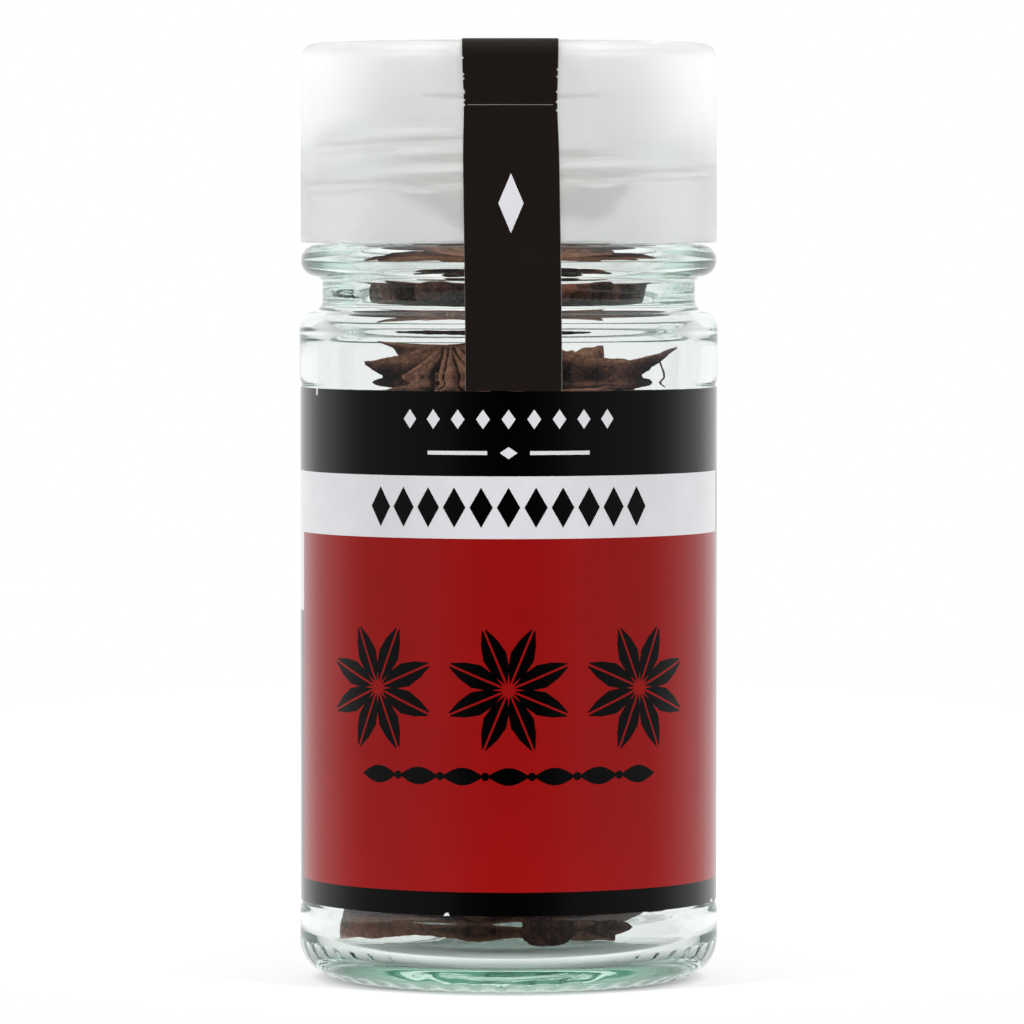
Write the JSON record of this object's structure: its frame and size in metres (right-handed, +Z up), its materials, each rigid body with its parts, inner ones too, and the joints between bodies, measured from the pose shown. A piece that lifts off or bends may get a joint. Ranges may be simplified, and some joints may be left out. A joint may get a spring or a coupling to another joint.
{
  "type": "jar of star anise",
  "caption": "Shut round clear glass spice jar filled with whole star anise pods, with a translucent screw cap, a wrap-round label and a seal strip over the cap.",
  "frame": {"origin": "centre of the jar's base ring, on the surface that the jar stands on", "axes": "+Z up along the jar's axis, the label's front panel faces -Y, +X to the right when seen from the front"},
  "size_m": [0.046, 0.0466, 0.1028],
  "materials": {
    "clear_glass": "smooth moulded clear glass with a faint green tint in its thick parts",
    "cap_plastic": "natural frosted translucent plastic",
    "label_print": "glossy printed label in fields of black, white and red",
    "seal_print": "satin brownish black printed strip",
    "dried_pod": "dry wrinkled dark brown husk with paler rust brown edges"
  },
  "bodies": {
    "root": {"glass_jar": "clear_glass", "screw_cap": "cap_plastic", "wrap_label": "label_print", "seal_strip": "seal_print", "star_anise": "dried_pod"}
  },
  "joints": []
}
